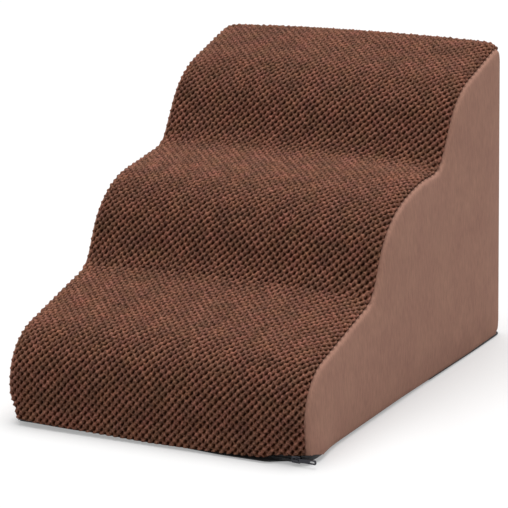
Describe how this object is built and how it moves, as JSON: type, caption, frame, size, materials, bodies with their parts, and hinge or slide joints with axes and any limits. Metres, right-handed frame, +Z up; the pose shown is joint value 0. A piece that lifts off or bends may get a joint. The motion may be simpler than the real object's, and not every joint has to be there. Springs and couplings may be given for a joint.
{
  "type": "pet stairs",
  "caption": "Foam pet stairs with rounded wavy steps, a textured plush tread cover, plain cloth sides and a zip along the front hem.",
  "frame": {"origin": "on the floor, under the middle of the base", "axes": "+X to the right across the stairs, +Y from the front edge up the steps to the back, +Z up"},
  "size_m": [0.4115, 0.5924, 0.392],
  "materials": {
    "foam": "matte",
    "plush": "matte",
    "side_cloth": "matte",
    "base_cloth": "matte",
    "zip_tape": "matte",
    "zip_coil": "satin",
    "zip_metal": "satin"
  },
  "bodies": {
    "stairs": {"foam_core": "foam", "tread_panel": "plush", "side_panel_right": "side_cloth", "side_panel_left": "side_cloth", "back_panel": "side_cloth", "base_panel": "base_cloth", "zip_tape_upper": "zip_tape", "zip_tape_lower": "zip_tape", "zip_teeth_upper": "zip_coil", "zip_teeth_lower": "zip_coil", "zip_top_stops": "zip_metal", "zip_bottom_stop": "zip_metal"},
    "slider": {"zip_slider": "zip_metal"},
    "pull": {"zip_pull": "zip_metal"}
  },
  "joints": [
    {"name": "zip_slide", "type": "slide", "parent": "stairs", "child": "slider", "axis": [1, 0, 0], "range_m": [-0.358, 0], "deforming": ["zip_teeth_upper", "zip_teeth_lower"]},
    {"name": "pull_swing", "type": "hinge", "parent": "slider", "child": "pull", "pos_m": [0.1855, -0.2951, 0.0074], "axis": [0, 0, -1], "range_deg": [0, 180]}
  ]
}
